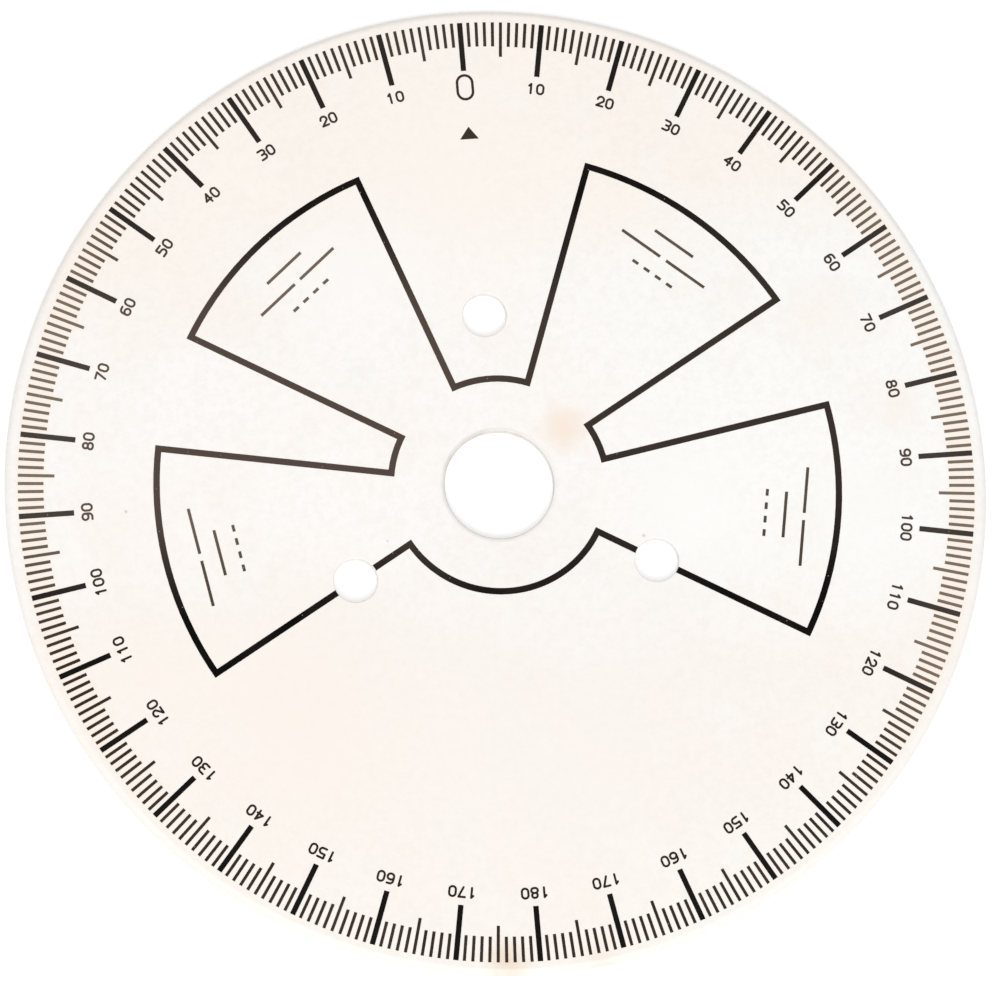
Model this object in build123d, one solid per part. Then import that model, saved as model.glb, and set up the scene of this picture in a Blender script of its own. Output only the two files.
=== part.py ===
from build123d import *
import os

# Degree wheel for timing a camshaft, in millimetres and degrees.
# A blanked and pierced metal disc, enamelled white on its face and printed in black.
# It bolts flat against the crankshaft pulley. The origin is the centre of the bore on the back face,
# +Z points out of the printed face and +Y points at the zero mark. Scale angles run clockwise from zero.

# Disc
disc_diameter = 228.6
sheet_thickness = 2.3
rim_round = 1.8
back_edge_break = 0.25
bore_diameter = 25.4
bore_edge_break = 0.3
bolt_circle_diameter = 81.0
bolt_hole_count = 3
bolt_hole_diameter = 10.2
bolt_hole_edge_break = 0.25

# Enamel and ink
coat_thickness = 0.06
ink_thickness = 0.04

# Scale of 360 degrees, its marks drawn inwards from one circle
scale_margin = 3.0
fine_mark_length = 5.9
five_mark_length = 8.4
ten_mark_length = 12.7
zero_mark_length = 11.7
fine_mark_width = 0.72
ten_mark_width = 1.25

# Large numeral under the zero mark
zero_numeral_gap = 0.8
zero_numeral_height = 6.4
zero_numeral_width = 4.2
zero_numeral_pen = 0.6

# Windows, each from one scale angle to another
window_spans = ((20, 60), (80, 120), (240, 280), (300, 340))
window_starts_with_long_row = (False, True, True, False)
window_radius = 79.4
hub_radius = 25.2
outline_width = 1.5
outline_hole_clearance = 0.15

# Index mark under the large numeral
index_gap = 6.4
index_height = 3.0
index_width = 4.4

# Note lines, three rows of dashes in each window
note_margin = 8.0
note_row_pitch = 4.5
note_width = 0.7
note_word = 10.9
note_word_gap = 1.7
note_dash = 1.6
note_dash_gap = 1.6
note_dash_count = 4

# Sizes that follow
disc_radius = disc_diameter / 2
bore_radius = bore_diameter / 2
bolt_hole_radius = bolt_hole_diameter / 2
coat_radius = disc_radius - rim_round
scale_radius = disc_radius - scale_margin
zero_numeral_radius = scale_radius - zero_mark_length - zero_numeral_gap - zero_numeral_height / 2
index_radius = zero_numeral_radius - zero_numeral_height / 2 - index_gap - index_height / 2
note_radius = window_radius - note_margin
face_height = sheet_thickness + coat_thickness


def bolt_places():
    """Centres of the bolt holes, the first of them under the zero mark."""
    return PolarLocations(bolt_circle_diameter / 2, bolt_hole_count, start_angle=90, rotate=False)


def round_holes(clearance_of_bore, clearance_of_bolts):
    """The bore and the bolt holes as one flat shape, each widened by its clearance."""
    bore = Circle(bore_radius + clearance_of_bore)
    bolts = bolt_places() * Circle(bolt_hole_radius + clearance_of_bolts)
    return bore + bolts


def top_edges(solid, radius):
    """Round edges of one radius on the upper side of a solid."""
    upper = solid.edges().filter_by(GeomType.CIRCLE).group_by(Axis.Z)[-1]
    return upper.filter_by(lambda edge: abs(edge.radius - radius) < 1e-6)


def disc():
    """Sheet metal disc: its rim rolls over on the printed side, and its holes are broken by a countersink."""
    blank = extrude(Circle(disc_radius) - round_holes(0, 0), sheet_thickness)
    rim_back = blank.edges().filter_by(GeomType.CIRCLE).group_by(Axis.Z)[0].sort_by(SortBy.RADIUS)[-1]
    blank = chamfer(rim_back, back_edge_break)
    blank = fillet(top_edges(blank, disc_radius), rim_round)
    blank = chamfer(top_edges(blank, bore_radius), bore_edge_break)
    return chamfer(top_edges(blank, bolt_hole_radius), bolt_hole_edge_break)


def face_coat():
    """White enamel over the flat part of the face."""
    film = Circle(coat_radius) - round_holes(bore_edge_break, bolt_hole_edge_break)
    return Pos(0, 0, sheet_thickness) * extrude(film, coat_thickness)


def ink(outline):
    """One film of ink on the enamel."""
    return Pos(0, 0, face_height) * extrude(outline, ink_thickness)


def turned(shape, angle):
    """A shape drawn at the zero mark, turned clockwise to a scale angle."""
    return Rot(0, 0, -angle) * shape


def scale_mark(length, width):
    """One mark at zero, from the scale circle inwards."""
    return ink(Pos(0, scale_radius - length / 2) * Rectangle(width, length))


def scale_marks(angles, length, width):
    """The same mark at each of the angles."""
    mark = scale_mark(length, width)
    return Compound([turned(mark, angle) for angle in angles])


def one_degree_marks():
    angles = [angle for angle in range(0, 360) if angle % 5]
    return scale_marks(angles, fine_mark_length, fine_mark_width)


def five_degree_marks():
    return scale_marks(range(5, 360, 10), five_mark_length, fine_mark_width)


def ten_degree_marks():
    return scale_marks(range(10, 360, 10), ten_mark_length, ten_mark_width)


def zero_mark():
    return scale_mark(zero_mark_length, ten_mark_width)


def zero_numeral():
    """The large open 0 under the zero mark, drawn with a pen of constant width."""
    outer = SlotOverall(zero_numeral_height, zero_numeral_width, rotation=90)
    inner_height = zero_numeral_height - 2 * zero_numeral_pen
    inner_width = zero_numeral_width - 2 * zero_numeral_pen
    inner = SlotOverall(inner_height, inner_width, rotation=90)
    return ink(Pos(0, zero_numeral_radius) * (outer - inner))


def on_circle(radius, angle):
    """The point at a radius and a scale angle."""
    return Vector(0, radius).rotate(Axis.Z, -angle)


def arc_between(radius, first, last):
    """An arc about the centre, clockwise from one scale angle to another."""
    middle = (first + last) / 2
    return ThreePointArc(on_circle(radius, first), on_circle(radius, middle), on_circle(radius, last))


def outline_path():
    """The closed line that runs out round each window and in along the hub between them."""
    edges = []
    for place, (first, last) in enumerate(window_spans):
        following = window_spans[(place + 1) % len(window_spans)][0]
        if following < last:
            following += 360
        edges.append(arc_between(window_radius, first, last))
        edges.append(Line(on_circle(window_radius, last), on_circle(hub_radius, last)))
        edges.append(arc_between(hub_radius, last, following))
        edges.append(Line(on_circle(hub_radius, following), on_circle(window_radius, following)))
    return Wire(edges)


def outline_films():
    """The printed outline, cut clear of the bolt holes: the long length first, then the one at the hub."""
    area = make_face(outline_path())
    outer = offset(area, outline_width / 2, kind=Kind.INTERSECTION)
    inner = offset(area, -outline_width / 2, kind=Kind.INTERSECTION)
    clear = bolt_places() * Circle(bolt_hole_radius + outline_hole_clearance)
    pieces = (outer - inner - clear).faces().sort_by(SortBy.AREA, reverse=True)
    return [ink(piece) for piece in pieces]


def index_mark():
    """A triangle that points outwards at zero."""
    half_width = index_width / 2
    half_height = index_height / 2
    points = ((-half_width, -half_height), (half_width, -half_height), (0, half_height))
    return ink(Pos(0, index_radius) * make_face(Polyline(*points, close=True)))


def dash_row(lengths, gap):
    """Dashes of the given lengths in one row, centred on the origin."""
    start = -(sum(lengths) + gap * (len(lengths) - 1)) / 2
    dashes = []
    for length in lengths:
        dashes.append(Pos(start + length / 2, 0) * ink(Rectangle(length, note_width)))
        start += length + gap
    return dashes


def note_lines(span, long_row_first):
    """Three rows of dashes across a window: one word, two words and four short dashes."""
    one_word = dash_row([note_word], note_word_gap)
    two_words = dash_row([note_word, note_word], note_word_gap)
    short_dashes = dash_row([note_dash] * note_dash_count, note_dash_gap)
    rows = (two_words, one_word, short_dashes) if long_row_first else (one_word, two_words, short_dashes)
    middle = sum(span) / 2
    placed = []
    for place, row in enumerate(rows):
        radius = note_radius - place * note_row_pitch
        placed += [turned(Pos(0, radius) * dash, middle) for dash in row]
    return Compound(placed)


def nodes():
    """Every piece of the wheel by name."""
    long_outline, hub_outline = outline_films()
    pieces = {
        "disc": disc(),
        "face_coat": face_coat(),
        "one_degree_marks": one_degree_marks(),
        "five_degree_marks": five_degree_marks(),
        "ten_degree_marks": ten_degree_marks(),
        "zero_mark": zero_mark(),
        "zero_numeral": zero_numeral(),
        "window_outline": long_outline,
        "hub_outline": hub_outline,
        "index_mark": index_mark(),
    }
    for span, long_row_first in zip(window_spans, window_starts_with_long_row):
        pieces[f"note_lines_{span[0]}_to_{span[1]}"] = note_lines(span, long_row_first)
    return pieces


os.makedirs("parts", exist_ok=True)
for name, piece in nodes().items():
    export_step(piece, f"parts/{name}.step")
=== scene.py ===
import math

import bmesh
import bpy
from mathutils import Matrix, Vector
from mathutils.geometry import delaunay_2d_cdt


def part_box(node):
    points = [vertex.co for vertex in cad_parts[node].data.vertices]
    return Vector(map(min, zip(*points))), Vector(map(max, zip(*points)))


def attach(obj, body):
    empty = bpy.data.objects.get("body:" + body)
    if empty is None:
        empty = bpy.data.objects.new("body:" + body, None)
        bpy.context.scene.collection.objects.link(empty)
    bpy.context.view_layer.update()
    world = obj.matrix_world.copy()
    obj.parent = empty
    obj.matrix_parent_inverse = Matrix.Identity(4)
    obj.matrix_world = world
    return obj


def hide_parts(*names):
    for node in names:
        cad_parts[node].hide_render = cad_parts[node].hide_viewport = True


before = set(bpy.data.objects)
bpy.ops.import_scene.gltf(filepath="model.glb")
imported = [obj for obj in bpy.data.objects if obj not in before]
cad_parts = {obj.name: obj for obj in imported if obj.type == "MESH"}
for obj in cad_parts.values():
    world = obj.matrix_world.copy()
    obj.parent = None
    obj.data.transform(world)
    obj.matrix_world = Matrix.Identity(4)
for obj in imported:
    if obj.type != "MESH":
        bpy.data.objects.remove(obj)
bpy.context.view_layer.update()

# Looks of a printed degree wheel, in the frame of the solids: the origin is the centre of the bore on the back face,
# +Z points out of the printed face, +Y at the zero mark, and scale angles run clockwise. Lengths are metres, except
# where a comment says millimetres, and angles are degrees.

MM = 0.001

# The disc and its enamel, in millimetres
disc_radius = 114.3
sheet_thickness = 2.3
rim_round = 1.8
rim_rows = 12
back_edge_break = 0.25
bore_radius = 12.7
bore_edge_break = 0.3
bolt_circle_radius = 40.5
bolt_hole_radius = 5.1
bolt_hole_edge_break = 0.25
bolt_hole_angles = (0, 120, 240)
coat_thickness = 0.06
rim_coat_end = 0.35
rim_coat_taper = 3 * coat_thickness
rim_steps = 360
bore_steps = 120
bolt_hole_steps = 72
sharp_edge = 25.0

# The small numerals, in millimetres
numeral_radius = 95.6
numeral_pitch = 2.2
pen_width = 0.50
half_width = 0.74
half_height = 1.13
arc_steps = 10
sharp_turn = 40.0
least_mitre_cosine = 0.5
same_point = 1e-6
cut_tolerance = 1e-5
smallest_gap = 0.002

# Zones of the enamel: in each, an effect changes smoothly from the first place to the second. It sets in from 0 to 1
# there, or has the two strengths that follow the places.
# The whiter band that the two cream zones leave across the middle, and the cooler white on its right, are painted
# sheen.
upper_cream = (0.036, 0.072)
lower_cream = (-0.045, -0.004, 0.8, 0.0)
cream_change = (-0.030, 0.050)
sheen_right_side = (-0.005, 0.070, 0.0, 0.75)
haze_inside = (0.1040, 0.1065)
haze_outside = (0.1108, 0.1126, 0.5, 0.0)
haze_sides = (0.070, 0.100)
# Thin enamel and painted shade on the hole walls: full at the bore, half at the bolt holes
thin_by_bore = (0.015, 0.030, 1.0, 0.5)
# Painted shade on the lip of the enamel round the bore's edge, heavier on the left side
lip_around_bore = (0.0130, 0.0139, 1.0, 0.0)
lip_shade_across_bore = (-bore_radius * MM, bore_radius * MM, 0.50, 0.14)
lip_height = (0.0018, 0.0021)
frayed_height = (0.0008, 0.0013, 0.8, 0.0)

# Every hole lies nearer the centre than this, and the rim farther out
hole_zone = 0.080

# Zones where the ink is faded, in the same form
faded_above = (-0.030, 0.005)
bold_again_above = (0.038, 0.072)
bold_again_right = (-0.025, 0.025, 1.0, 0.42)
faded_sides = (0.075, 0.100)
faded_sides_above = (-0.060, -0.020)
faded_sides_slope = 0.28

# How squarely a surface faces up or down, from a wall to a flat, where its looks change
steep_enamel = (0.55, 0.97, 1.0, 0.0)
flat_metal = (0.85, 0.99)

# How far the edges of the zones stray, and the scale of the noise that moves them
enamel_stray = (0.07, 9.0)
ink_stray = (0.03, 14.0)
frayed_stray = 0.0012

# Noises: scale, detail and roughness
frayed_noise = (420.0, 4.0, 0.6)
peel_noise = (700.0, 2.0, 0.5)
rolled_noise = (2.2, 4.0, 0.6)
sheared_noise = (3.0, 3.0, 0.6)

# Clouds: a noise, and the two of its levels between which a cloud sets in, from 0 to 1 or with the two strengths
# that follow the levels
blotches = (38.0, 3.0, 0.6, 0.42, 0.72)
pale_patches = (61.0, 2.0, 0.5, 0.52, 0.75)
enamel_grain = (620.0, 2.0, 0.65, 0.35, 0.72)
thin_patches = (240.0, 3.0, 0.6, 0.3, 0.7, 0.55, 0.95)
smears = (26.0, 4.0, 0.6, 0.3, 0.75, 0.30, 0.42)
worn_ink = (90.0, 4.0, 0.6, 0.38, 0.75, 0.0, 0.12)
ink_mottle = (2600.0, 2.0, 0.6, 0.55, 0.85)
ink_roughness = (800.0, 3.0, 0.5, 0.3, 0.7, 0.50, 0.66)
tarnish_patches = (45.0, 4.0, 0.6, 0.35, 0.75)
scratches = (1.1, 1.0, 0.5, 0.70, 0.74)

# How much finer a noise runs along x, y and z, or, for the shear marks, round the disc, along its axis and outwards
pale_stretch = (1.3, 1.0, 1.0)
smear_stretch = (1.0, 3.0, 1.0)
rolled_stretch = (14.0, 900.0, 14.0)
scratch_stretch = (30.0, 1700.0, 30.0)
shear_stretch = (60.0, 160.0, 300.0)

# Dots: how many cells to a metre, the size of a dot in its cell, and the share of cells without one
dust = (62.0, 0.013, 0.93)
pinholes = (1500.0, 0.16, 0.965)

# Bare metal: the turn of its scratches in radians, its roughness from clean to tarnished, and what the grain adds
scratch_turn = 0.5
metal_roughness = (0.0, 1.0, 0.26, 0.36)
grain_roughness = 0.16
grain_shade = (0.3, 0.7, 0.25, 0.0)
scratch_depth = 0.6

# Bumps: height in metres, and strength
enamel_bump = (0.00003, 0.5)
ink_bump = (0.00001, 0.5)
metal_bump = (0.00002, 0.6)

# Base colours, as a screen shows them in steps of 255
# Painted sheen: the whiter band across the middle of the face
sheen_band_white = (254, 251, 248)
lower_white = (252, 245, 238)
upper_white = (254, 247, 240)
# Painted sheen: the cooler white on the right of that band
sheen_right_white = (253, 254, 252)
haze_brown = (252, 237, 222)
# Thin enamel, darkened further as painted shade on the walls of the holes
thin_enamel_and_shade_grey = (216, 209, 201)
# Painted shade round the bore's edge
painted_lip_shade_grey = (180, 173, 165)
frayed_grey = (196, 193, 189)
clean_edge = (210, 207, 203)
dull_edge = (198, 194, 188)
clean_sheet = (228, 228, 227)
dull_sheet = (214, 212, 208)
grain_grey = (176, 174, 170)

# Veils over a base colour: strength and colour
blotch_veil = (0.45, (253, 243, 235))
pale_veil = (0.40, (250, 250, 247))
grain_veil = (0.30, (240, 234, 227))
dust_veil = (0.55, (120, 100, 88))
pinhole_veil = (0.6, (214, 200, 186))
scratch_veil = (0.3, (240, 240, 240))
mottle_strength = 0.12

# Tint patches, as shares of a patch's outer radius: the noise across it, its ragged outline and its farthest reach
patch_noise = 1.6
patch_raggedness = 0.8
patch_reach = 1.4

# The camera, as fitted to the photograph
picture_width = 1000
focal_pixels = 5714.9
sensor_width = 36.0
near_clip = 0.01
camera_target = Vector((0.0, -0.00167, 0.0024))
camera_distance = 1.3250
camera_azimuth = 26.667
camera_elevation = 77.421
camera_roll = 22.282

# Light
sky_strength = 0.66
key_power = 132.0
key_size = 4.1
key_place = Vector((-0.50, -3.18, 3.83))
floor_size = 5.0
floor_drop = 0.0001
floor_albedo = 0.80
floor_lift = 0.36
white = (1.0, 1.0, 1.0, 1.0)


# Shader helpers

def new_tree(name):
    """A material with an empty node tree, and the tree."""
    material = bpy.data.materials.new(name)
    material.use_nodes = True
    material.node_tree.nodes.clear()
    return material, material.node_tree


def put(tree, kind, inputs=None, **settings):
    """Adds a node. An input is a value, or a socket to link from."""
    node = tree.nodes.new(kind)
    for name, value in settings.items():
        setattr(node, name, value)
    for name, value in (inputs or {}).items():
        if isinstance(value, bpy.types.NodeSocket):
            tree.links.new(value, node.inputs[name])
        else:
            node.inputs[name].default_value = value
    return node


def maths(tree, operation, *values, clamp=False):
    """The result of one operation on numbers or sockets."""
    node = put(tree, "ShaderNodeMath", dict(enumerate(values)), operation=operation, use_clamp=clamp)
    return node.outputs[0]


def noise(tree, vector, scale, detail=3.0, roughness=0.5):
    """Cloudy noise, about 0.5 on average."""
    inputs = {"Vector": vector, "Scale": scale, "Detail": detail, "Roughness": roughness}
    return put(tree, "ShaderNodeTexNoise", inputs).outputs[0]


def dots(tree, point, scale, size, rarity):
    """Round dots: 1 within a size of the middle of a cell, in the cells whose chance is above the rarity."""
    cell = put(tree, "ShaderNodeTexVoronoi", {"Vector": point, "Scale": scale}, feature="F1").outputs
    chance = put(tree, "ShaderNodeSeparateColor", {0: cell["Color"]}).outputs[0]
    return maths(tree, "MULTIPLY", maths(tree, "LESS_THAN", cell["Distance"], size),
                 maths(tree, "GREATER_THAN", chance, rarity))


def between(tree, value, low, high, to_low=0.0, to_high=1.0):
    """The value carried smoothly from one range to another."""
    inputs = {"Value": value, "From Min": low, "From Max": high, "To Min": to_low, "To Max": to_high}
    return put(tree, "ShaderNodeMapRange", inputs, interpolation_type="SMOOTHSTEP").outputs[0]


def clouds(tree, point, scale, detail, roughness, *levels):
    """Noise carried smoothly between two of its levels."""
    return between(tree, noise(tree, point, scale, detail, roughness), *levels)


def stray(tree, point, reach, scale):
    """A slow wandering about zero that keeps the edges of zones from being straight."""
    return maths(tree, "MULTIPLY_ADD", noise(tree, point, scale), reach, -reach / 2)


def mix(tree, factor, first, second):
    """The first colour carried to the second by the factor."""
    return put(tree, "ShaderNodeMix", {0: factor, 6: first, 7: second}, data_type="RGBA").outputs[2]


def colour(red, green, blue):
    """A colour written as a screen shows it, in steps of 255, as the linear colour that a shader takes."""
    steps = []
    for value in (red, green, blue):
        share = value / 255
        steps.append(share / 12.92 if share <= 0.04045 else ((share + 0.055) / 1.055) ** 2.4)
    return (*steps, 1.0)


def veiled(tree, base, pattern, strength, tint):
    """The colour with a tint over it where a pattern shows."""
    return mix(tree, maths(tree, "MULTIPLY", pattern, strength), base, colour(*tint))


def place(tree):
    """The point on the object, and its parts."""
    point = put(tree, "ShaderNodeTexCoord").outputs["Object"]
    parts = put(tree, "ShaderNodeSeparateXYZ", {0: point}).outputs
    return point, parts[0], parts[1], parts[2]


def stretched(tree, vector, scale):
    """A point with each of its parts scaled by its own amount."""
    return put(tree, "ShaderNodeVectorMath", {0: vector, 1: scale}, operation="MULTIPLY").outputs[0]


def radius_of(tree, x, y):
    """How far a point is from the centre, seen along the axis."""
    return maths(tree, "SQRT", maths(tree, "ADD", maths(tree, "MULTIPLY", x, x), maths(tree, "MULTIPLY", y, y)))


def squareness(tree):
    """1 where the surface faces straight up or down, and 0 on a wall."""
    normal = put(tree, "ShaderNodeNewGeometry").outputs["Normal"]
    return maths(tree, "ABSOLUTE", put(tree, "ShaderNodeSeparateXYZ", {0: normal}).outputs[2])


def finish_material(material, tree, settings, bump, bump_distance, bump_strength):
    """Adds the shader, with its bump, and the output."""
    bumped = put(tree, "ShaderNodeBump", {"Height": bump, "Distance": bump_distance, "Strength": bump_strength})
    shader = put(tree, "ShaderNodeBsdfPrincipled", {**settings, "Normal": bumped.outputs[0]})
    output = put(tree, "ShaderNodeOutputMaterial")
    tree.links.new(shader.outputs[0], output.inputs["Surface"])
    return material


# Materials

# Patches where the enamel has changed, and three of painted sheen: middle, inner and outer radius in millimetres,
# strength and colour.
# The first ones are broad and faint: the first three, in the whites of the sheen band, are painted sheen, and the
# rest are creamier. Then come a stain by the bore and two at the bottom, and the last are specks.
tint_and_sheen_patches = (
    # Painted sheen: these three widen the whiter band
    (-29.5, 53.0, 10.0, 26.0, 0.75, (254, 251, 248)),
    (44.0, -9.0, 10.0, 28.0, 0.75, (253, 253, 251)),
    (86.0, -14.0, 10.0, 26.0, 0.60, (253, 253, 251)),
    (-88.0, -2.0, 6.0, 22.0, 0.55, (253, 245, 239)),
    (-86.0, -38.0, 5.0, 20.0, 0.70, (252, 243, 235)),
    (-4.0, 74.0, 8.0, 38.0, 0.75, (254, 246, 239)),
    (-50.0, -50.0, 12.0, 46.0, 0.80, (253, 243, 235)),
    (10.0, -62.0, 12.0, 46.0, 0.55, (252, 245, 239)),
    (78.0, 36.0, 3.0, 15.0, 0.60, (252, 240, 230)),
    (95.0, 13.0, 2.0, 10.0, 0.60, (252, 240, 230)),
    (16.5, 12.5, 3.0, 9.0, 0.85, (249, 231, 215)),
    (-7.4, -110.6, 2.0, 7.2, 0.80, (236, 213, 190)),
    (14.0, -112.6, 1.0, 8.0, 0.40, (240, 222, 204)),
    (32.5, -14.3, 0.1, 0.7, 0.80, (186, 180, 174)),
    (-86.7, -0.5, 0.1, 0.6, 0.80, (170, 164, 158)),
    (-27.0, -11.5, 0.1, 0.5, 0.65, (190, 184, 178)),
)


def enamel_tints(tree, point, x, y):
    """The enamel's colour: creamier towards the top and bottom, with a painted sheen, a whiter band through the
    middle that is cooler on the right; blotched and grainy.
    """
    wander = stray(tree, point, *enamel_stray)
    height = maths(tree, "ADD", y, wander)
    cream = maths(tree, "MAXIMUM", between(tree, height, *upper_cream), between(tree, height, *lower_cream))
    creams = mix(tree, between(tree, y, *cream_change), colour(*lower_white), colour(*upper_white))
    # Painted sheen: whiter across the middle, where neither cream zone sets in
    base = mix(tree, cream, colour(*sheen_band_white), creams)
    # Painted sheen: the band turns a cooler white towards the right
    sheen_right = between(tree, maths(tree, "ADD", x, wander), *sheen_right_side)
    sheen_right = maths(tree, "MULTIPLY", sheen_right, maths(tree, "SUBTRACT", 1.0, cream))
    base = mix(tree, sheen_right, base, colour(*sheen_right_white))
    base = veiled(tree, base, clouds(tree, point, *blotches), *blotch_veil)
    base = veiled(tree, base, clouds(tree, stretched(tree, point, pale_stretch), *pale_patches), *pale_veil)
    return veiled(tree, base, clouds(tree, point, *enamel_grain), *grain_veil)


def patched(tree, base, point, x, y):
    """The colour with the tint patches over it, three of them painted sheen, their outlines made ragged by noise."""
    for middle_x, middle_y, inner, outer, strength, tint in tint_and_sheen_patches:
        away = radius_of(tree, maths(tree, "SUBTRACT", x, middle_x * MM), maths(tree, "SUBTRACT", y, middle_y * MM))
        ragged = maths(tree, "MULTIPLY_ADD", noise(tree, point, patch_noise / (outer * MM)),
                       patch_raggedness * outer * MM, away)
        reach = between(tree, ragged, inner * MM, patch_reach * outer * MM, strength, 0.0)
        base = mix(tree, reach, base, colour(*tint))
    return base


def worn_edges(tree, base, point, x, z, out):
    """The colour with the enamel thin and grey in the holes, darkened there further as painted shade on the walls,
    with painted shade on the lip round the bore, heavier on the left, and grey where the enamel ends on the rim.
    """
    in_hole = maths(tree, "LESS_THAN", out, hole_zone)
    patchy = clouds(tree, point, *thin_patches)
    # Thin enamel and painted shade: the walls of the holes are greyed, most near the bore
    thin = maths(tree, "MULTIPLY", between(tree, squareness(tree), *steep_enamel), between(tree, out, *thin_by_bore))
    thin = maths(tree, "MULTIPLY", maths(tree, "MULTIPLY", thin, in_hole), patchy)
    base = mix(tree, thin, base, colour(*thin_enamel_and_shade_grey))
    # Painted shade on the lip round the bore, heavier towards the left
    lip = maths(tree, "MULTIPLY", between(tree, out, *lip_around_bore), between(tree, z, *lip_height))
    lip = maths(tree, "MULTIPLY", lip, between(tree, x, *lip_shade_across_bore))
    base = mix(tree, maths(tree, "MULTIPLY", lip, patchy), base, colour(*painted_lip_shade_grey))
    height = maths(tree, "MULTIPLY_ADD", noise(tree, point, *frayed_noise), frayed_stray, z)
    frayed = maths(tree, "MULTIPLY", between(tree, height, *frayed_height), maths(tree, "SUBTRACT", 1.0, in_hole))
    return mix(tree, frayed, base, colour(*frayed_grey))


def enamel():
    """White enamel with orange peel, stained and hazed by handling, with thin edges and a few specks of dust, and
    with painted sheen across the face and painted shade at the edges of the holes.
    """
    material, tree = new_tree("enamel_face")
    point, x, y, z = place(tree)
    out = radius_of(tree, x, y)
    base = patched(tree, enamel_tints(tree, point, x, y), point, x, y)
    haze = maths(tree, "MULTIPLY", between(tree, out, *haze_inside), between(tree, out, *haze_outside))
    haze = maths(tree, "MULTIPLY", haze, between(tree, maths(tree, "ABSOLUTE", x), *haze_sides))
    base = mix(tree, haze, base, colour(*haze_brown))
    base = worn_edges(tree, base, point, x, z, out)
    base = veiled(tree, base, dots(tree, point, *dust), *dust_veil)
    peel = noise(tree, point, *peel_noise)
    rough = clouds(tree, stretched(tree, point, smear_stretch), *smears)
    settings = {"Base Color": base, "Roughness": rough, "IOR": 1.5, "Specular IOR Level": 0.4}
    return finish_material(material, tree, settings, peel, *enamel_bump)


def ink(name, dark, faded, top_fading, side_fading):
    """Screen-printed ink: matt, thinner and browner on the upper left and at the two sides, with pinholes."""
    material, tree = new_tree(name)
    point, x, y, _ = place(tree)
    wander = stray(tree, point, *ink_stray)
    upper = between(tree, maths(tree, "ADD", y, wander), *faded_above)
    level = between(tree, y, *bold_again_above, 1.0, top_fading)
    side = between(tree, maths(tree, "ADD", x, wander), *bold_again_right)
    thin = maths(tree, "MULTIPLY", maths(tree, "MULTIPLY", upper, level), side)
    outward = between(tree, maths(tree, "ABSOLUTE", x), *faded_sides, 0.0, side_fading)
    slanted = maths(tree, "MULTIPLY_ADD", x, faded_sides_slope, y)
    outward = maths(tree, "MULTIPLY", outward, between(tree, slanted, *faded_sides_above))
    thin = maths(tree, "MAXIMUM", thin, outward)
    worn = clouds(tree, point, *worn_ink)
    base = mix(tree, maths(tree, "ADD", thin, worn, clamp=True), dark, faded)
    mottle = clouds(tree, point, *ink_mottle)
    base = mix(tree, maths(tree, "MULTIPLY", mottle, mottle_strength), base, faded)
    base = veiled(tree, base, dots(tree, point, *pinholes), *pinhole_veil)
    rough = clouds(tree, point, *ink_roughness)
    settings = {"Base Color": base, "Roughness": rough, "IOR": 1.48, "Specular IOR Level": 0.06}
    return finish_material(material, tree, settings, mottle, *ink_bump)


def sheared(tree, x, y, z):
    """Noise drawn out along the walls of the disc, as shear marks are."""
    along = (maths(tree, "ARCTAN2", y, x), z, radius_of(tree, x, y))
    inputs = {part: maths(tree, "MULTIPLY", length, stretch)
              for part, (length, stretch) in enumerate(zip(along, shear_stretch))}
    return noise(tree, put(tree, "ShaderNodeCombineXYZ", inputs).outputs[0], *sheared_noise)


def aluminium():
    """Bare sheet aluminium: rolling grain on the back, shear marks in the walls of the holes, a satin rim."""
    material, tree = new_tree("aluminium_sheet")
    point, x, y, z = place(tree)
    flat = between(tree, squareness(tree), *flat_metal)
    rolled = noise(tree, stretched(tree, point, rolled_stretch), *rolled_noise)
    flat_grain = maths(tree, "MULTIPLY", rolled, flat)
    wall_grain = maths(tree, "MULTIPLY", sheared(tree, x, y, z), maths(tree, "SUBTRACT", 1.0, flat))
    grain = maths(tree, "ADD", flat_grain, wall_grain)
    tarnish = clouds(tree, point, *tarnish_patches)
    edge_metal = mix(tree, tarnish, colour(*clean_edge), colour(*dull_edge))
    sheet_metal = mix(tree, tarnish, colour(*clean_sheet), colour(*dull_sheet))
    base = mix(tree, flat, edge_metal, sheet_metal)
    base = mix(tree, between(tree, grain, *grain_shade), base, colour(*grain_grey))
    askew = put(tree, "ShaderNodeVectorRotate", {"Vector": point, "Angle": scratch_turn}, rotation_type="Z_AXIS")
    scratch = clouds(tree, stretched(tree, askew.outputs[0], scratch_stretch), *scratches)
    scratch = maths(tree, "MULTIPLY", scratch, flat)
    base = veiled(tree, base, scratch, *scratch_veil)
    rough = maths(tree, "MULTIPLY_ADD", grain, grain_roughness, between(tree, tarnish, *metal_roughness))
    bump = maths(tree, "MULTIPLY_ADD", scratch, -scratch_depth, grain)
    settings = {"Base Color": base, "Metallic": 1.0, "Roughness": rough}
    return finish_material(material, tree, settings, bump, *metal_bump)


def dress(names, material):
    """Gives CAD nodes a better material."""
    for name in names:
        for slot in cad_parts[name].material_slots:
            slot.material = material


# Numerals, drawn with a pen of constant width

def arc(x, y, radius, first, last):
    """Points on an arc, from one angle to another in degrees, counterclockwise where last is larger."""
    turns = [math.radians(first + (last - first) * step / arc_steps) for step in range(arc_steps + 1)]
    return [(x + radius * math.cos(turn), y + radius * math.sin(turn)) for turn in turns]


def ring(y, wide, high):
    """A closed oval about (0, y), as points."""
    radius = min(wide, high)
    points = []
    for corner, (side_x, side_y) in enumerate(((1, 1), (-1, 1), (-1, -1), (1, -1))):
        points += arc(side_x * (wide - radius), y + side_y * (high - radius), radius, 90 * corner, 90 * corner + 90)
    return clean(points + points[:1])


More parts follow.
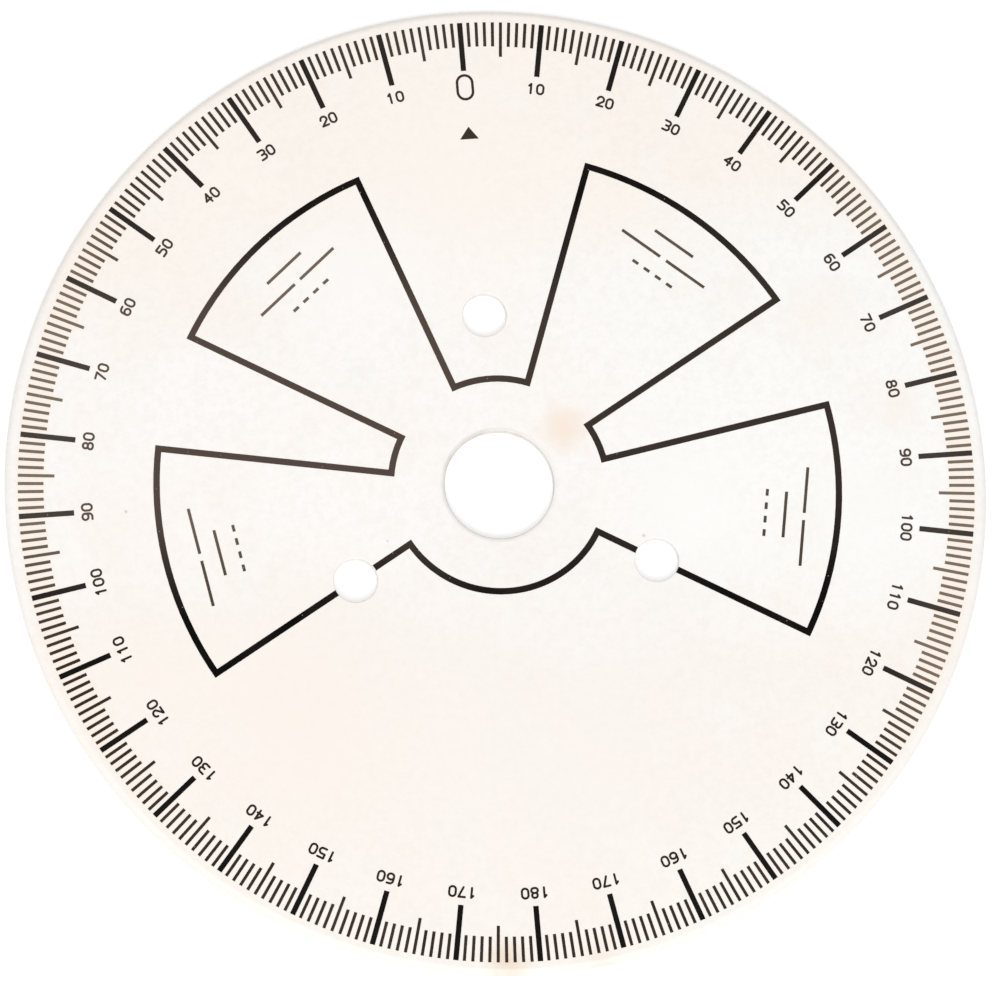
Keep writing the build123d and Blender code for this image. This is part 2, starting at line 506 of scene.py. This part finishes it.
def clean(points):
    """The points without repeats."""
    kept = [points[0]]
    for point in points[1:]:
        if math.dist(point, kept[-1]) > same_point:
            kept.append(point)
    return kept


def turned_over(strokes):
    """The strokes turned half round."""
    return [[(-x, -y) for x, y in stroke] for stroke in strokes]


def digit_strokes(digit):
    """The pen strokes of a digit about its centre, in millimetres."""
    a, b = half_width, half_height
    bowl = b / 2
    belly = b * 7 / 12
    six = [ring(-0.4 * b, a, 0.6 * b), [(-a, -0.4 * b)] + arc(0, b - a, a, 180, 90) + [(0.8 * a, b)]]
    strokes = {
        "0": [ring(0, a, b)],
        "1": [[(-0.6 * a, 0.6 * b), (0, b), (0, -b)]],
        "2": [arc(0, b - a, a, 180, -20) + [(-a, -b), (a, -b)]],
        "3": [[(-a, b)] + arc(a - bowl, b - bowl, bowl, 90, -90) + [(-0.3 * a, 0)],
              [(a - bowl, 0)] + arc(a - bowl, -bowl, bowl, 90, -90) + [(-a, -b)]],
        "4": [[(a / 2, -b), (a / 2, b), (-a, -b / 3), (a, -b / 3)]],
        "5": [[(a, b), (-a, b), (-a, b / 6)] + arc(a - belly, belly - b, belly, 90, -90) + [(-a, -b)]],
        "6": six,
        "7": [[(-a, b), (a, b), (-a / 3, -b)]],
        "8": [ring(b / 2, 0.85 * a, b / 2), ring(-b / 2, a, b / 2)],
        "9": turned_over(six),
    }
    return [leg for stroke in strokes[digit] for leg in legs_of(clean(stroke))]


def legs_of(stroke):
    """The stroke cut at its sharp corners, so that each of its legs has round ends."""
    legs = [stroke[:1]]
    for before, point, after in zip(stroke, stroke[1:], stroke[2:] + [None]):
        legs[-1].append(point)
        if after is None:
            break
        into = Vector(point) - Vector(before)
        out = Vector(after) - Vector(point)
        if math.degrees(into.angle(out)) > sharp_turn:
            legs.append([point])
    return legs


def sides_of(stroke):
    """Points on either side of a stroke, half a pen away, mitred at its corners."""
    closed = math.dist(stroke[0], stroke[-1]) < same_point
    points = [Vector(point) for point in (stroke[:-1] if closed else stroke)]
    count = len(points)
    left, right = [], []
    for place_in, point in enumerate(points):
        before = points[place_in - 1] if place_in or closed else None
        after = points[(place_in + 1) % count] if place_in < count - 1 or closed else None
        into = (point - before).normalized() if before is not None else (after - point).normalized()
        out = (after - point).normalized() if after is not None else into
        across = (Vector((-into.y, into.x)) + Vector((-out.y, out.x))).normalized()
        reach = pen_width / 2 / max(across.dot(Vector((-out.y, out.x))), least_mitre_cosine)
        left.append(point + across * reach)
        right.append(point - across * reach)
    if closed:
        left.append(left[0])
        right.append(right[0])
    return left, right, closed


def end_cap(tip, inner):
    """A round end for a pen stroke."""
    away = (Vector(tip) - Vector(inner)).normalized()
    start = math.degrees(math.atan2(away.y, away.x)) - 90
    return [Vector(point) for point in arc(tip[0], tip[1], pen_width / 2, start, start + 180)]


def stroke_pieces(stroke):
    """A stroke as small convex polygons, counterclockwise."""
    left, right, closed = sides_of(stroke)
    pieces = [[right[step], right[step + 1], left[step + 1], left[step]] for step in range(len(left) - 1)]
    if not closed:
        pieces.append(end_cap(stroke[0], stroke[1]))
        pieces.append(end_cap(stroke[-1], stroke[-2]))
    return pieces


def holds(piece, point):
    """Whether a convex polygon, counterclockwise, holds the point."""
    return all((after - corner).cross(point - corner) >= 0 for corner, after in zip(piece, piece[1:] + piece[:1]))


def digit_net(digit):
    """The pen strokes of a digit, joined to one flat net of points and faces."""
    pieces = [piece for stroke in digit_strokes(digit) for piece in stroke_pieces(stroke)]
    points, edges = [], []
    for piece in pieces:
        start = len(points)
        count = len(piece)
        points += piece
        edges += [(start + step, start + (step + 1) % count) for step in range(count)]
    net = delaunay_2d_cdt(points, edges, [], 0, cut_tolerance)
    faces = []
    for face in net[2]:
        centre = sum((net[0][corner] for corner in face), Vector((0, 0))) / len(face)
        if any(holds(piece, centre) for piece in pieces):
            faces.append(face)
    return merged(net[0], faces)


def merged(points, faces):
    """A net with points that all but meet made one, and without the triangles that this closes up."""
    kept, stands_for = [], []
    for point in points:
        near = [number for number, other in enumerate(kept) if (other - point).length < smallest_gap]
        if not near:
            kept.append(point)
        stands_for.append(near[0] if near else len(kept) - 1)
    faces = [[stands_for[corner] for corner in face] for face in faces]
    return kept, [face for face in faces if len(set(face)) == 3]


def numeral(text, nets):
    """A number centred on the origin, its digits side by side, from the nets of the digits."""
    start = -numeral_pitch * (len(text) - 1) / 2
    points, faces = [], []
    for place_in, digit in enumerate(text):
        shift = Vector((start + place_in * numeral_pitch, 0))
        first = len(points)
        points += [point + shift for point in nets[digit][0]]
        faces += [[first + corner for corner in face] for face in nets[digit][1]]
    return points, faces


def new_piece(name, net, material, replaced=()):
    """A piece of the wheel from a finished bmesh, its faces turned outwards."""
    bmesh.ops.recalc_face_normals(net, faces=list(net.faces))
    if net.calc_volume(signed=True) < 0:
        bmesh.ops.reverse_faces(net, faces=list(net.faces))
    mesh = bpy.data.meshes.new(name)
    net.to_mesh(mesh)
    net.free()
    mesh.set_sharp_from_angle(angle=math.radians(sharp_edge))
    piece = bpy.data.objects.new(name, mesh)
    bpy.context.scene.collection.objects.link(piece)
    mesh.materials.append(material)
    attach(piece, "root")
    if replaced:
        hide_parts(*replaced)
    return piece


def turned_wall(net, middle, profile, steps):
    """A smooth wall round a point, through the radii and heights of a profile. Gives its first and last ring."""
    rings = []
    for radius, height in profile:
        rings.append([net.verts.new(((middle[0] + radius * math.cos(turn)) * MM,
                                     (middle[1] + radius * math.sin(turn)) * MM, height * MM))
                      for turn in (2 * math.pi * step / steps for step in range(steps))])
    for lower, upper in zip(rings, rings[1:]):
        for step in range(steps):
            following = (step + 1) % steps
            wall = net.faces.new((lower[step], lower[following], upper[following], upper[step]))
            wall.smooth = True
    return rings[0], rings[-1]


def flat_between(net, rings):
    """A flat face inside the first ring and outside the others. All rings are round."""
    corners, owners, edges = [], [], []
    for number, ring_points in enumerate(rings):
        start = len(corners)
        count = len(ring_points)
        corners += ring_points
        owners += [number] * count
        edges += [(start + step, start + (step + 1) % count) for step in range(count)]
    spots = [Vector((corner.co.x / MM, corner.co.y / MM)) for corner in corners]
    found = delaunay_2d_cdt(spots, edges, [], 0, cut_tolerance)
    for face in found[2]:
        sources = [found[3][corner][0] for corner in face]
        touched = {owners[source] for source in sources}
        if 0 in touched or len(touched) > 1:
            net.faces.new([corners[source] for source in sources])


def plate(outer, bore, bolts):
    """A round plate with a bore and bolt holes, from the profiles of its edges, back to front."""
    net = bmesh.new()
    bolt_middles = [(bolt_circle_radius * math.sin(math.radians(angle)),
                     bolt_circle_radius * math.cos(math.radians(angle))) for angle in bolt_hole_angles]
    ends = [turned_wall(net, (0, 0), outer, rim_steps), turned_wall(net, (0, 0), bore, bore_steps)]
    ends += [turned_wall(net, middle, bolts, bolt_hole_steps) for middle in bolt_middles]
    for side in (0, 1):
        flat_between(net, [end[side] for end in ends])
    return net


def quarter(radius, height, reach, rise):
    """A quarter turn from straight out to straight up, about a point on the side of an edge."""
    turns = [math.pi / 2 * row / rim_rows for row in range(rim_rows + 1)]
    return [(radius + reach * math.cos(turn), height + rise * math.sin(turn)) for turn in turns]


def rim_arc(coat):
    """The rolled rim on the printed side, from its widest up to the face, with a coat over it."""
    bend = sheet_thickness - rim_round
    return quarter(disc_radius - rim_round, bend, rim_round - coat_thickness + coat, rim_round + coat)


def hole_wall(radius, edge_break):
    """The metal of a hole from the back to the face, set back by the coat that covers all of it."""
    return [(radius + coat_thickness, 0), (radius + coat_thickness, sheet_thickness - edge_break),
            (radius + edge_break + coat_thickness, sheet_thickness)]


def disc_plate():
    """The disc: its rim rolls over on the printed side and its holes are broken there."""
    rim = disc_radius - coat_thickness
    outer = [(rim - back_edge_break, 0), (rim, back_edge_break)] + rim_arc(0)
    return plate(outer, hole_wall(bore_radius, bore_edge_break), hole_wall(bolt_hole_radius, bolt_hole_edge_break))


def coat_over_hole(radius, edge_break):
    """The enamel in a hole: down the metal from the face, and back up over it with a soft lip."""
    lip = edge_break + coat_thickness
    over = quarter(radius + lip, sheet_thickness + coat_thickness - lip, -lip, lip)
    return hole_wall(radius, edge_break)[::-1] + [(radius, 0)] + over


def coat_plate():
    """The enamel over the face, the rim and the edges of the holes. It thins out before it reaches the back."""
    rim = disc_radius - coat_thickness
    end = [(rim, rim_coat_end), (disc_radius, rim_coat_end + rim_coat_taper)]
    outer = rim_arc(0)[::-1] + end + rim_arc(coat_thickness)
    return plate(outer, coat_over_hole(bore_radius, bore_edge_break),
                 coat_over_hole(bolt_hole_radius, bolt_hole_edge_break))


def print_numerals(name, marks, material):
    """One film of ink that holds numbers, each at its scale angle with its top outwards."""
    low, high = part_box("zero_numeral")
    nets = {digit: digit_net(digit) for digit in "0123456789"}
    film = bmesh.new()
    for angle, text in marks:
        turn = Matrix.Rotation(-math.radians(angle), 4, "Z") @ Matrix.Translation((0, numeral_radius * MM, 0))
        points, faces = numeral(text, nets)
        tops = [film.verts.new(turn @ Vector((point.x * MM, point.y * MM, high.z))) for point in points]
        for face in faces:
            film.faces.new([tops[corner] for corner in face])
    bmesh.ops.delete(film, geom=[top for top in film.verts if not top.link_faces], context="VERTS")
    flats = list(film.faces)
    rims = [edge for edge in film.edges if len(edge.link_faces) == 1]
    below = {top: film.verts.new((top.co.x, top.co.y, low.z)) for top in list(film.verts)}
    for face in flats:
        film.faces.new([below[top] for top in face.verts])
    for edge in rims:
        first, last = edge.verts
        film.faces.new((first, last, below[last], below[first]))
    return new_piece(name, film, material)


# The part

fine_ink = ink("ink_fine_marks", colour(50, 40, 32), colour(125, 109, 95), 0.1, 1.0)
bold_ink = ink("ink_bold_marks", colour(12, 11, 10), colour(70, 62, 57), 0.3, 0.75)
line_ink = ink("ink_lines", colour(2, 2, 2), colour(82, 70, 63), 0.0, 0.5)
small_ink = ink("ink_small_print", colour(40, 33, 27), colour(94, 80, 68), 0.3, 0.6)
note_ink = ink("ink_notes", colour(72, 60, 50), colour(112, 98, 86), 1.0, 0.6)

new_piece("disc_metal", disc_plate(), aluminium(), ["disc"])
new_piece("face_enamel", coat_plate(), enamel(), ["face_coat"])
dress(["one_degree_marks", "five_degree_marks"], fine_ink)
dress(["ten_degree_marks", "zero_mark"], bold_ink)
dress(["window_outline", "hub_outline"], line_ink)
dress(["zero_numeral", "index_mark"], small_ink)
dress([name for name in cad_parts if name.startswith("note_lines")], note_ink)

tens = range(10, 180, 10)
print_numerals("numerals_clockwise", [(value, str(value)) for value in tens], small_ink)
print_numerals("numerals_counterclockwise", [(360 - value, str(value)) for value in tens], small_ink)
print_numerals("numeral_180", [(180, "180")], small_ink)


# The stage

def plain_to_sight(tree):
    """1 for rays that show the background: from the camera, from gloss and through glass."""
    path = put(tree, "ShaderNodeLightPath").outputs
    seen = maths(tree, "MAXIMUM", path["Is Camera Ray"], path["Is Glossy Ray"])
    return maths(tree, "MAXIMUM", seen, path["Is Transmission Ray"])


def make_world():
    """A plain light all round, behind a white background."""
    world = bpy.data.worlds.new("studio")
    bpy.context.scene.world = world
    world.use_nodes = True
    tree = world.node_tree
    tree.nodes.clear()
    light = put(tree, "ShaderNodeBackground", {"Color": white, "Strength": sky_strength}).outputs[0]
    backdrop = put(tree, "ShaderNodeBackground", {"Color": white, "Strength": 1.0}).outputs[0]
    chosen = put(tree, "ShaderNodeMixShader", {0: plain_to_sight(tree), 1: light, 2: backdrop}).outputs[0]
    output = put(tree, "ShaderNodeOutputWorld")
    tree.links.new(chosen, output.inputs["Surface"])


def make_floor():
    """A plain white floor that keeps the wheel's shadow."""
    half = floor_size / 2
    corners = [(-half, -half), (half, -half), (half, half), (-half, half)]
    mesh = bpy.data.meshes.new("floor")
    mesh.from_pydata([(x, y, -floor_drop) for x, y in corners], [], [(0, 1, 2, 3)])
    floor = bpy.data.objects.new("floor", mesh)
    bpy.context.scene.collection.objects.link(floor)
    material, tree = new_tree("floor_paper")
    paper = put(tree, "ShaderNodeBsdfDiffuse", {"Color": (floor_albedo,) * 3 + (1.0,)}).outputs[0]
    lift = maths(tree, "MULTIPLY", plain_to_sight(tree), floor_lift)
    glow = put(tree, "ShaderNodeEmission", {"Strength": lift}).outputs[0]
    both = put(tree, "ShaderNodeAddShader", {0: paper, 1: glow}).outputs[0]
    output = put(tree, "ShaderNodeOutputMaterial")
    tree.links.new(both, output.inputs["Surface"])
    mesh.materials.append(material)


def make_key():
    """One broad soft lamp."""
    lamp = bpy.data.lights.new("key", "AREA")
    lamp.energy = key_power
    lamp.size = key_size
    key = bpy.data.objects.new("key", lamp)
    bpy.context.scene.collection.objects.link(key)
    key.location = key_place
    key.rotation_euler = (-key_place).to_track_quat("-Z", "Y").to_euler()


def make_camera():
    """The camera, turned about its target and rolled as the photographer held it."""
    azimuth = math.radians(camera_azimuth)
    elevation = math.radians(camera_elevation)
    ahead = Vector((math.sin(azimuth) * math.cos(elevation), math.cos(azimuth) * math.cos(elevation),
                    -math.sin(elevation)))
    level = ahead.cross(Vector((0, 0, 1))).normalized()
    up = level.cross(ahead)
    roll = math.radians(camera_roll)
    right = level * math.cos(roll) + up * math.sin(roll)
    above = up * math.cos(roll) - level * math.sin(roll)
    data = bpy.data.cameras.new("camera")
    data.sensor_width = sensor_width
    data.sensor_fit = "HORIZONTAL"
    data.lens = focal_pixels / picture_width * sensor_width
    data.clip_start = near_clip
    camera = bpy.data.objects.new("camera", data)
    bpy.context.scene.collection.objects.link(camera)
    turn = Matrix((right, above, -ahead)).transposed()
    camera.matrix_world = Matrix.Translation(camera_target - ahead * camera_distance) @ turn.to_4x4()
    bpy.context.scene.camera = camera


make_world()
make_floor()
make_key()
make_camera()
bpy.context.scene.view_settings.view_transform = "Standard"
